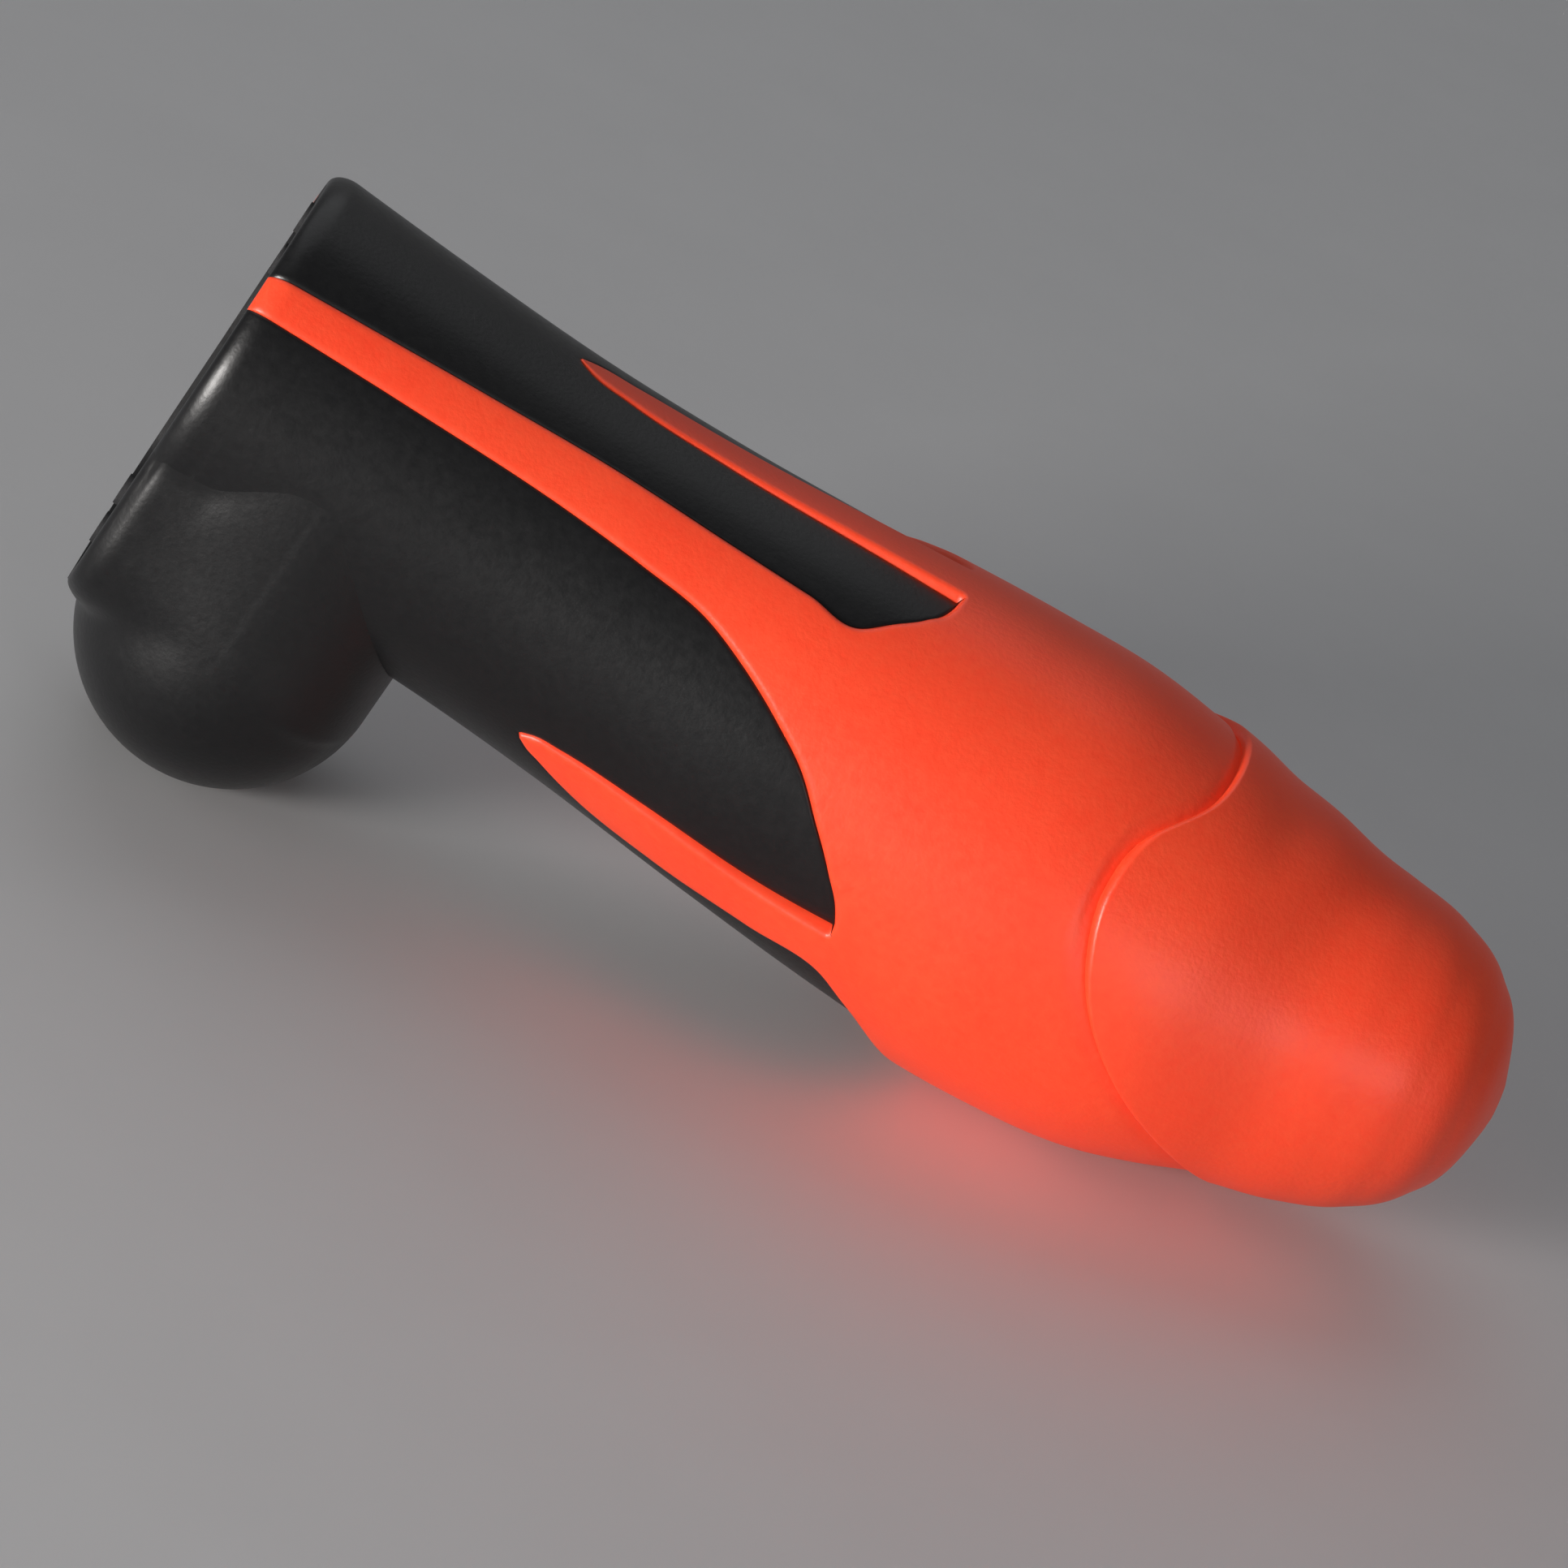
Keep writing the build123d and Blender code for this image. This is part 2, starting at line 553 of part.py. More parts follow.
def make_pieces():
    """Every piece by name, still along the body's own axis."""
    left, right = lower_covers()
    lead_rest = board_top + lead_radius + seat
    lead_hang = speech_z - lead_radius - seat
    speech_middle = board_top - board_thick / 2
    pieces = {
        "body_shell": body_shell(),
        "upper_cover": upper_cover(),
        "lower_cover_left": left,
        "lower_cover_right": right,
        "nose_cap": nose_cap(),
        "base_plate": base_plate(),
        "keypad_mat": keypad_mat(),
        "keypad_board": keypad_board(),
        "hook_plunger": hook_plunger(),
        "hook_lever": hook_lever(),
        "hook_switch": hook_switch(),
        "hook_board": hook_board(),
        "ringer_switch_knob": knob(-1),
        "tone_pulse_knob": knob(1),
        "slide_switches": slide_switches(),
        "line_jack": line_jack(),
        "speech_board": speech_board(),
        "ringer_capsule": upright(72, 0, 11.0, 7.0),
        "dialler_chip": block(90, 112.8, -12.2, -5.8, board_top, board_top + 3.5),
        "hybrid_transformer": block(92, 105, 2, 13, board_top, board_top + 9.0),
        "capacitors": Compound([upright(118, y, 3.15, 9.0) for y in (-9, 0, 9)]),
        "receiver_capsule": earpiece(receiver_back, receiver_front - seat, receiver_radius),
        "receiver_gasket": earpiece(receiver_front, receiver_front + gasket_thick, receiver_radius)
        - earpiece(0, 40, receiver_radius - 2.4),
        "receiver_retainer": earpiece(receiver_back - 1.5, receiver_back - seat, receiver_radius)
        - earpiece(0, 40, receiver_radius - 3.0),
        "microphone": rod(mic_back + boot_floor + fit, mic_front - 1.1, microphone_radius, 0, -lobe_drop),
        "microphone_boot": rod(mic_back, mic_front - seat, boot_radius, 0, -lobe_drop)
        - rod(mic_back + boot_floor, mic_front - 1.0, microphone_radius + fit, 0, -lobe_drop)
        - rod(mic_back - 1, mic_front + 1, 1.2, 0, -lobe_drop),
        "ballast_weight": Pos(lobe_at, 0, ballast_z) * Rot(90, 0, 0) * Cylinder(ballast_radius, ballast_length),
        "base_screws": screws_along_x([top_screw] + low_screws, plate_back - 1.2, 8.0, -1),
        "keypad_screws": screws_along_x(posts, keypad_board_x + board_thick, 4.0, 1),
        "board_screws": Compound([Pos(board_from + 4, side * 11, board_top) * screw(6.5) for side in (-1, 1)]),
        "rubber_feet": Compound([rod(-foot_proud, plate_recess, foot_radius, y, z)
                                 for y, z in ((-8, 16.3), (8, 16.3), (-6.7, -28), (6.7, -28))]),
        "receiver_lead": lead([(122, 4, lead_rest), (128, 4, lead_rest), (140, 2, 2), (158, 0, 6),
                               earpiece_point(6), earpiece_point(10.9)]),
        "microphone_lead": lead([(mic_back - 0.1, 0, -lobe_drop), (27, 0, -lobe_drop), (23.5, 0, -27), (23.5, 0, -15),
                                 (29, 0, trunk_z - 0.5), (48, 0, trunk_z), (trunk_end, 0, lead_hang)]),
        "line_lead": lead([(jack_at, jack_back - seat, -28), (jack_at, 3.6, -28), (25.5, 3, -22), (25.5, 3, -15),
                           (31, 4, trunk_z - 0.5), (48, trunk_y, trunk_z), (trunk_end, trunk_y, lead_hang)], 1.8),
        "hook_lead": lead([(hook_board_x + board_thick + seat, -4, -28), (21, -4, -28), (24, -3, -22), (24, -3, -15),
                           (30, -4, trunk_z - 0.5), (48, -trunk_y, trunk_z), (trunk_end, -trunk_y, lead_hang)], 2.0),
        "keypad_ribbon": lead([(keypad_board_x + board_thick + seat, 0, 4), (16, 0, 4), (30, 0, 1),
                               (41, 0, speech_middle), (board_from - seat, 0, speech_middle)],
                              4.0, Rectangle(0.8, 8.0)),
    }
    for name, (y, z) in zip(key_names, key_places()):
        pieces["key_" + name] = key(y, z)
    return pieces


def resting_turn(pieces):
    """Angle, in degrees, at which the lobe's flats and the belly touch one plane."""
    low, high = 0.0, 30.0
    front = pieces["body_shell"] + pieces["nose_cap"]
    for _ in range(14):
        turn = (low + high) / 2
        belly = (Rot(0, turn, 0) * front).bounding_box().min.Z
        foot = (Rot(0, turn, 0) * Pos(lobe_at, lobe_spread, -lobe_drop) * Sphere(lobe_radius)).bounding_box().min.Z
        if belly > foot + lobe_flat:
            low = turn
        else:
            high = turn
    return turn, foot + lobe_flat


def main():
    """Builds, places and writes every piece."""
    os.makedirs("parts", exist_ok=True)
    pieces = make_pieces()
    turn, ground = resting_turn(pieces)
    floor = Pos(0, 0, ground - 50) * Box(600, 200, 100)
    placed = {}
    for name, piece in pieces.items():
        piece = Rot(0, turn, 0) * piece
        if name.startswith("lower_cover"):
            piece -= floor
        placed[name] = piece
    box = Compound([Compound(piece.solids()) for piece in placed.values()]).bounding_box()
    middle = Pos(-(box.min.X + box.max.X) / 2, -(box.min.Y + box.max.Y) / 2, -box.min.Z)
    for name, piece in placed.items():
        export_step(middle * piece, f"parts/{name}.step")
    shift = (-(box.min.X + box.max.X) / 2, -(box.min.Y + box.max.Y) / 2, -box.min.Z)
    print("nose-down turn", round(turn, 4), "shift", [round(v, 4) for v in shift])
    print("box", box.size)


main()
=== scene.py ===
"""Looks of a one-piece novelty telephone: a long rounded body with a nose cap, a rear lobe and keys in its base.

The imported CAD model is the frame. Its large outer pieces are stood for by smooth surfaces worked out here from
the same sizes, and every other piece keeps its CAD shape and gets a finish. Body coordinates run along the body:
x from the flat base to the nose, y across and z towards the back, in millimetres, until they are placed.
"""

import json
import logging
import math
from dataclasses import dataclass, field
from enum import Enum

import bpy
import numpy as np
from mathutils import Matrix, Vector

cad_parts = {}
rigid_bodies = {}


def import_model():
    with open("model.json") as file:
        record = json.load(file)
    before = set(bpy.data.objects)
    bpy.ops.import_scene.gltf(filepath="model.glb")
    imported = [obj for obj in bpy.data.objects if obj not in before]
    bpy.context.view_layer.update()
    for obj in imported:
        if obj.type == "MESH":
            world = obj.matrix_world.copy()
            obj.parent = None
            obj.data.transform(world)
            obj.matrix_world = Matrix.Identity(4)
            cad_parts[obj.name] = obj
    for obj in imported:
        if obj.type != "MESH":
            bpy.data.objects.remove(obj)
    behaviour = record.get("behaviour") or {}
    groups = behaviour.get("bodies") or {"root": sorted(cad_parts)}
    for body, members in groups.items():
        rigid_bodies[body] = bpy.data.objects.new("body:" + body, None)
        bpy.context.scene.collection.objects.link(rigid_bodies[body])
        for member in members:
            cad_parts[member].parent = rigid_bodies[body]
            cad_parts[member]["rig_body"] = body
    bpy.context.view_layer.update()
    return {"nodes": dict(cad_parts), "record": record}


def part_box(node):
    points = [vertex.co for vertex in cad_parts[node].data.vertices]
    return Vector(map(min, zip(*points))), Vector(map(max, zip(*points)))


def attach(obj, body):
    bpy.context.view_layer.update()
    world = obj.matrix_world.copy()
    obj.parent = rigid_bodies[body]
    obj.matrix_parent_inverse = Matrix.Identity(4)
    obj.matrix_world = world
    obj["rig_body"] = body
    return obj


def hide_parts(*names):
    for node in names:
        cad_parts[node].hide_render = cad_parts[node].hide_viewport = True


LOG = logging.getLogger("telephone")
BODY = "housing"
MM = 0.001
JACK_AT = 26.5
JACK_Z = -30.0
CURVE = list[tuple[float, float]]


class Grain(Enum):
    """Kind of fine relief on a finish."""

    PEBBLE = "pebble"
    BRUSHED = "brushed"
    SMOOTH = "smooth"


def smooth_curve(points: CURVE, at: np.ndarray) -> np.ndarray:
    """Value of a smooth curve through points.

    A cubic between each two points, with slopes from the parabola through each three, held level past the ends.

    Args:
        points: (place, value) pairs in order of place.
        at: places to work out.

    Returns:
        The values, in the shape of at.
    """
    px, py = np.array(points, float).T
    step, rise = np.diff(px), np.diff(py)
    grade = rise / step
    slope = np.empty_like(px)
    slope[1:-1] = (grade[:-1] * step[1:] + grade[1:] * step[:-1]) / (step[:-1] + step[1:])
    slope[0] = grade[0] + (grade[0] - slope[1]) * 0.5
    slope[-1] = grade[-1] + (grade[-1] - slope[-2]) * 0.5
    where = np.clip(at, px[0], px[-1])
    k = np.clip(np.searchsorted(px, where, side="right") - 1, 0, len(step) - 1)
    t = (where - px[k]) / step[k]
    a, b = slope[k] * step[k], slope[k + 1] * step[k]
    return (
        py[k] * (2 * t**3 - 3 * t**2 + 1)
        + a * (t**3 - 2 * t**2 + t)
        + py[k + 1] * (3 * t**2 - 2 * t**3)
        + b * (t**3 - t**2)
    )


def ease(t: np.ndarray) -> np.ndarray:
    """Eased step: 0 below 0, 1 above 1, and 3t^2 - 2t^3 between.

    Args:
        t: where along the step.

    Returns:
        How far the step has gone.
    """
    t = np.clip(t, 0.0, 1.0)
    return t * t * (3.0 - 2.0 * t)


def roll_off(distance: np.ndarray, radius: np.ndarray) -> np.ndarray:
    """Share of a rounded edge's drop: 1 at the edge, 0 one radius away, along a quarter circle between.

    Args:
        distance: how far from the edge.
        radius: the edge's radius.

    Returns:
        The share.
    """
    s = np.clip(distance / np.maximum(radius, 1e-6), 0.0, 1.0)
    return 1.0 - np.sqrt(np.maximum(1.0 - (1.0 - s) ** 2, 0.0))


def smooth_max(a: np.ndarray, b: np.ndarray, softness: np.ndarray) -> np.ndarray:
    """Larger of two distances, with a fillet where they meet: (a + b + sqrt((a - b)^2 + softness)) / 2.

    Args:
        a: first distance.
        b: second distance.
        softness: square of twice the fillet's height where the two are equal.

    Returns:
        The blended distance.
    """
    return (a + b + np.sqrt((a - b) ** 2 + softness)) / 2


def edge_spaced(count: int) -> np.ndarray:
    """Parameter from 0 to 1 with its steps closer together at both ends.

    It is 0.7 (1 - cos(pi t)) / 2 + 0.3 t.

    Args:
        count: how many values.

    Returns:
        The values.
    """
    t = np.linspace(0.0, 1.0, count)
    return 0.7 * (1.0 - np.cos(math.pi * t)) / 2 + 0.3 * t


@dataclass(frozen=True)
class Placing:
    """Carries body coordinates in millimetres to the frame's metres."""

    origin: np.ndarray
    along: np.ndarray
    up: np.ndarray

    @staticmethod
    def from_record(record: dict) -> "Placing":
        """Reads the body's axis from the base mount, and its origin from the nose-down turn about the jack.

        Args:
            record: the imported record.

        Returns:
            The placing.
        """
        axis = next(m["axis"] for m in record["mounts"] if m["name"] == "base_face")
        along = -np.array(axis, float)
        along /= np.linalg.norm(along)
        up = np.array([-along[2], 0.0, along[0]])
        jack = next(m["pos_m"] for m in record["mounts"] if m["name"] == "line_socket")
        base = np.array([jack[0], 0.0, jack[2]]) - along * JACK_AT * MM - up * JACK_Z * MM
        return Placing(base, along, up)

    def place(self, body: np.ndarray) -> np.ndarray:
        """Carries body points to the frame.

        Args:
            body: points in millimetres, with a last dimension of 3.

        Returns:
            The points in the frame, in metres.
        """
        scaled = body * MM
        across = np.zeros_like(scaled)
        across[..., 1] = scaled[..., 1]
        return self.origin + scaled[..., :1] * self.along + across + scaled[..., 2:] * self.up


@dataclass(frozen=True)
class Finish:
    """A moulded or metal finish, built from nodes on Object coordinates."""

    name: str
    colour: tuple[float, float, float]
    deep: tuple[float, float, float]
    roughness: float
    metallic: float = 0.0
    glow: float = 0.0
    glow_colour: tuple[float, float, float] = (1.0, 0.1, 0.02)
    subsurface: float = 0.0
    coat: float = 0.0
    grain: Grain = Grain.PEBBLE
    grain_size: float = 2200.0
    grain_height: float = 0.04
    cloud: float = 0.25

    def material(self) -> bpy.types.Material:
        """Material of this finish, made once.

        Returns:
            The node material.
        """
        made = bpy.data.materials.get(self.name)
        if made is not None:
            return made
        made = bpy.data.materials.new(self.name)
        made.use_nodes = True
        made.diffuse_color = (*self.colour, 1.0)
        tree = made.node_tree
        nodes, links = tree.nodes, tree.links
        shader = nodes["Principled BSDF"]
        place = nodes.new("ShaderNodeTexCoord")
        self._colour_nodes(nodes, links, place, shader)
        self._relief_nodes(nodes, links, place, shader)
        shader.inputs["Metallic"].default_value = self.metallic
        shader.inputs["Coat Weight"].default_value = self.coat
        shader.inputs["Coat Roughness"].default_value = 0.2
        if self.subsurface:
            shader.inputs["Subsurface Weight"].default_value = self.subsurface
            shader.inputs["Subsurface Radius"].default_value = (1.0, 0.25, 0.1)
            shader.inputs["Subsurface Scale"].default_value = 0.003
        # Emission is painted light: the part glows though it is no lamp, whatever lights it.
        if self.glow:
            shader.inputs["Emission Color"].default_value = (*self.glow_colour, 1.0)
            shader.inputs["Emission Strength"].default_value = self.glow
        return made

    def _colour_nodes(self, nodes: bpy.types.Nodes, links: bpy.types.NodeLinks, place: bpy.types.Node,
                      shader: bpy.types.Node) -> None:
        """Soft clouds between the two colours, with fine specks and a roughness that follows them."""
        cloud = nodes.new("ShaderNodeTexNoise")
        cloud.inputs["Scale"].default_value = 38.0
        cloud.inputs["Detail"].default_value = 5.0
        speck = nodes.new("ShaderNodeTexNoise")
        speck.inputs["Scale"].default_value = self.grain_size * 0.5
        speck.inputs["Detail"].default_value = 3.0
        mixed = nodes.new("ShaderNodeMix")
        mixed.data_type = "FLOAT"
        mixed.inputs[0].default_value = 0.45
        ramp = nodes.new("ShaderNodeValToRGB")
        ramp.color_ramp.elements[0].position = 0.5 - self.cloud
        ramp.color_ramp.elements[1].position = 0.5 + self.cloud
        ramp.color_ramp.elements[0].color = (*self.deep, 1.0)
        ramp.color_ramp.elements[1].color = (*self.colour, 1.0)
        rough = nodes.new("ShaderNodeMapRange")
        rough.inputs["To Min"].default_value = max(self.roughness - 0.06, 0.05)
        rough.inputs["To Max"].default_value = min(self.roughness + 0.08, 1.0)
        links.new(place.outputs["Object"], cloud.inputs["Vector"])
        links.new(place.outputs["Object"], speck.inputs["Vector"])
        links.new(cloud.outputs["Fac"], mixed.inputs[2])
        links.new(speck.outputs["Fac"], mixed.inputs[3])
        links.new(mixed.outputs[0], ramp.inputs["Fac"])
        links.new(ramp.outputs["Color"], shader.inputs["Base Color"])
        links.new(speck.outputs["Fac"], rough.inputs["Value"])
        links.new(rough.outputs["Result"], shader.inputs["Roughness"])

    def _relief_nodes(self, nodes: bpy.types.Nodes, links: bpy.types.NodeLinks, place: bpy.types.Node,
                      shader: bpy.types.Node) -> None:
        """Fine relief: round pebbles, long brush marks, or next to none."""
        relief = nodes.new("ShaderNodeTexNoise")
        relief.inputs["Scale"].default_value = self.grain_size
        relief.inputs["Detail"].default_value = 4.0
        stretch = nodes.new("ShaderNodeMapping")
        if self.grain is Grain.BRUSHED:
            stretch.inputs["Scale"].default_value = (1.0, 0.03, 1.0)
        bump = nodes.new("ShaderNodeBump")
        bump.inputs["Strength"].default_value = 0.25 if self.grain is Grain.SMOOTH else 1.0
        bump.inputs["Distance"].default_value = self.grain_height * MM
        links.new(place.outputs["Object"], stretch.inputs["Vector"])
        links.new(stretch.outputs["Vector"], relief.inputs["Vector"])
        links.new(relief.outputs["Fac"], bump.inputs["Height"])
        links.new(bump.outputs["Normal"], shader.inputs["Normal"])


# Orange shell: its own fluorescent orange colour, plus a weak emission that is a painted glow given off by the shell
# itself.
ORANGE = Finish("fluorescent_orange_painted_glow", (1.0, 0.085, 0.028), (0.93, 0.05, 0.016), 0.42, glow=0.06, subsurface=0.2,
                coat=0.08, grain_size=1500.0, grain_height=0.05)
BLACK = Finish("satin_black", (0.006, 0.006, 0.0065), (0.003, 0.003, 0.0035), 0.36, coat=0.05, grain_size=1700.0,
               grain_height=0.03)
PLATE = Finish("plate_black", (0.011, 0.011, 0.012), (0.006, 0.006, 0.007), 0.55, grain_size=1300.0,
               grain_height=0.06)
KEY = Finish("key_ivory", (0.78, 0.76, 0.7), (0.7, 0.68, 0.62), 0.38, subsurface=0.1, grain=Grain.SMOOTH,
             grain_size=900.0)
FIGURE = Finish("figure_black", (0.01, 0.01, 0.012), (0.006, 0.006, 0.008), 0.5, grain=Grain.SMOOTH)
PLUNGER = Finish("plunger_dark", (0.05, 0.05, 0.052), (0.035, 0.035, 0.037), 0.3, coat=0.2, grain=Grain.SMOOTH)
RUBBER = Finish("foot_rubber", (0.03, 0.03, 0.032), (0.018, 0.018, 0.02), 0.8, grain_size=1800.0, grain_height=0.08)
BOARD = Finish("board_green", (0.02, 0.13, 0.05), (0.012, 0.08, 0.03), 0.45, coat=0.3, grain=Grain.SMOOTH)
STEEL = Finish("screw_steel", (0.55, 0.55, 0.56), (0.42, 0.42, 0.44), 0.3, metallic=1.0, grain=Grain.BRUSHED)
SPRING = Finish("spring_steel", (0.6, 0.58, 0.54), (0.48, 0.46, 0.43), 0.25, metallic=1.0, grain=Grain.BRUSHED)
CAPSULE = Finish("capsule_metal", (0.62, 0.63, 0.65), (0.5, 0.51, 0.53), 0.35, metallic=1.0, grain=Grain.BRUSHED)
COMPONENT = Finish("component_dark", (0.035, 0.035, 0.04), (0.02, 0.02, 0.024), 0.45, grain_size=1500.0)
WIRE = Finish("wire_sleeve", (0.5, 0.05, 0.04), (0.4, 0.035, 0.03), 0.4, grain=Grain.SMOOTH)
FLOOR = Finish("pale_floor", (0.78, 0.78, 0.79), (0.75, 0.75, 0.76), 0.7, grain=Grain.SMOOTH, grain_size=60.0)
SLOT_FINISH = {
    "orange_shell": ORANGE,
    "black_cover": BLACK,
    "black_plate": PLATE,
    "key_plastic": KEY,
    "plunger_plastic": PLUNGER,
    "rubber_pad": RUBBER,
    "circuit_board": BOARD,
    "screw_steel": STEEL,
    "spring_steel": SPRING,
    "capsule_metal": CAPSULE,
    "component_plastic": COMPONENT,
    "wire_insulation": WIRE,
}


@dataclass
class Surface:
    """Grids of points that become one piece."""

    name: str
    points: list[np.ndarray] = field(default_factory=list)
    faces: list[np.ndarray] = field(default_factory=list)
    used: int = 0

    def add_grid(self, grid: np.ndarray, flip: bool = False, closed: bool = False,
                 keep: np.ndarray | None = None) -> None:
        """Adds a grid of points as quads.

        Args:
            grid: points in millimetres, body coordinates, rows by columns by 3.
            flip: turns the faces over.
            closed: joins the last column to the first.
            keep: which quads stay, where some are left out.
        """
        rows, cols = grid.shape[:2]
        index = np.arange(rows * cols).reshape(rows, cols) + self.used
        if closed:
            index = np.concatenate([index, index[:, :1]], axis=1)
        quads = np.stack([index[:-1, :-1], index[1:, :-1], index[1:, 1:], index[:-1, 1:]], axis=-1).reshape(-1, 4)
        if keep is not None:
            quads = quads[keep.reshape(-1)]
        self.points.append(grid.reshape(-1, 3))
        self.faces.append(quads[:, ::-1] if flip else quads)
        self.used += rows * cols

    def build(self, placing: Placing, finish: Finish, weld: float = 0.004) -> bpy.types.Object:
        """Makes the piece, welds its seams and poles, and dresses it.

        Args:
            placing: carries the points to the frame.
            finish: what it is made of.
            weld: points closer than this, in millimetres, become one.

        Returns:
            The piece, at the origin, smooth shaded.
        """
        cloud = np.concatenate(self.points)
        quads = np.concatenate(self.faces)
        key = np.round(cloud / weld).astype(np.int64)
        _, first, back = np.unique(key, axis=0, return_index=True, return_inverse=True)
        quads = back.reshape(-1)[quads]
        doubled = (quads == np.roll(quads, 1, axis=1)).sum(axis=1)
        whole = quads[doubled == 0]
        thin = quads[doubled == 1]
        corners = thin[thin != np.roll(thin, 1, axis=1)].reshape(-1, 3)
        corners = corners[corners[:, 0] != corners[:, 2]]
        mesh = bpy.data.meshes.new(self.name)
        placed = placing.place(cloud[first])
        placed[:, 2] = np.maximum(placed[:, 2], 0.0)
        loops = np.concatenate([whole.reshape(-1), corners.reshape(-1)])
        starts = np.concatenate([np.arange(len(whole)) * 4, len(whole) * 4 + np.arange(len(corners)) * 3])
        mesh.vertices.add(len(placed))
        mesh.vertices.foreach_set("co", placed.astype(np.float32).reshape(-1))
        mesh.loops.add(len(loops))
        mesh.loops.foreach_set("vertex_index", loops.astype(np.int32))
        mesh.polygons.add(len(starts))
        mesh.polygons.foreach_set("loop_start", starts.astype(np.int32))
        mesh.polygons.foreach_set("use_smooth", np.ones(len(starts), bool))
        mesh.update(calc_edges=True)
        mesh.validate()
        mesh.materials.append(finish.material())
        piece = bpy.data.objects.new(self.name, mesh)
        bpy.context.scene.collection.objects.link(piece)
        return piece


@dataclass
class Form:
    """The body's outer form, in millimetres and degrees about its axis; 0 is the near side and 90 the back."""

    neck_at: float = 140.0
    bend: float = 9.5
    bend_from: float = 126.0
    bend_to: float = 154.0
    tip_at: float = 189.3
    rim_step: float = 1.0
    rim_long: float = 3.4
    rim_wide: float = 2.05
    profile: CURVE = field(default_factory=lambda: [
        (0.0, 25.6), (20.2, 24.7), (43.0, 24.3), (62.0, 25.2), (86.0, 27.5), (108.0, 29.5), (121.0, 30.16),
        (132.0, 29.35), (143.0, 27.8), (150.0, 25.9), (158.0, 23.6), (168.0, 22.0), (176.0, 19.8), (183.0, 15.4),
        (187.0, 9.8), (189.0, 3.6),
    ])
    sunk: CURVE = field(default_factory=lambda: [
        (0.0, 0.0), (20.2, 0.0), (43.0, 0.05), (62.0, 0.3), (86.0, 0.9), (108.0, 1.8), (121.0, 2.3), (144.0, 2.3),
    ])
    rim_line: CURVE = field(default_factory=lambda: [
        (-45.0, 175.5), (-19.0, 163.5), (-14.5, 155.5), (-8.4, 144.6), (-1.0, 135.1), (8.0, 128.8), (15.0, 126.6),
        (22.0, 127.9), (27.5, 133.6), (40.0, 133.6),
    ])

    def radius(self, x: np.ndarray) -> np.ndarray:
        """Radius of the orange surface.

        Args:
            x: places along the axis.

        Returns:
            The radius at each.
        """
        return smooth_curve(self.profile, x)

    def ring(self) -> tuple[np.ndarray, np.ndarray]:
        """Places and insets of the base's rounded rim.

        They run out of the pocket, over the flat rim and round its outer edge on a quarter of an ellipse.

        Returns:
            Places along the axis, and how far inside the outline each row lies.
        """
        turn = np.linspace(0.0, math.pi / 2, 14)[:-1]
        x = np.concatenate([[4.0, 0.5, 0.14], self.rim_long * (1.0 - np.cos(turn))])
        inset = np.concatenate([[2.3, 2.3, 2.24], self.rim_wide * (1.0 - np.sin(turn))])
        return x, inset

    def on_axis(self, x: np.ndarray, r: np.ndarray, angle: np.ndarray) -> np.ndarray:
        """Points about the axis, which is straight, then bends towards the back.

        The axis turns by bend times an eased step between bend_from and bend_to, and is the running sum of its
        direction; a point lies at r from it, at the angle, in the plane square to it.

        Args:
            x: places along the axis.
            r: distances from it.
            angle: turns about it, degrees.

        Returns:
            Points, with a last dimension of 3.
        """
        x, r, angle = np.broadcast_arrays(x, r, angle)
        fine = np.linspace(0.0, 200.0, 4001)
        turn = math.radians(self.bend) * ease((fine - self.bend_from) / (self.bend_to - self.bend_from))
        step = fine[1] - fine[0]
        run = np.concatenate([[0.0], np.cumsum(np.cos((turn[1:] + turn[:-1]) / 2)) * step])
        rise = np.concatenate([[0.0], np.cumsum(np.sin((turn[1:] + turn[:-1]) / 2)) * step])
        ax, az, at = np.interp(x, fine, run), np.interp(x, fine, rise), np.interp(x, fine, turn)
        a = np.radians(angle)
        up = r * np.sin(a)
        return np.stack([ax + np.minimum(x, 0.0) - up * np.sin(at), -r * np.cos(a), az + up * np.cos(at)], axis=-1)

    def rim(self, angle: np.ndarray) -> np.ndarray:
        """Place along the axis where the nose cap's rim crosses each angle.

        The rim is a curve in side view. Each angle's line on the form is followed forward until it crosses it.

        Args:
            angle: turns about the axis, degrees.

        Returns:
            Places along the axis.
        """
        x = np.linspace(118.0, 184.0, 661)[:, None]
        points = self.on_axis(x, self.radius(x) + self.rim_step, angle[None, :])
        ahead = points[..., 0] - smooth_curve(self.rim_line, points[..., 2])
        k = np.argmax(ahead > 0, axis=0)
        column = np.arange(len(angle))
        before, after = ahead[k - 1, column], ahead[k, column]
        return x[k - 1, 0] + (x[k, 0] - x[k - 1, 0]) * (-before / (after - before))


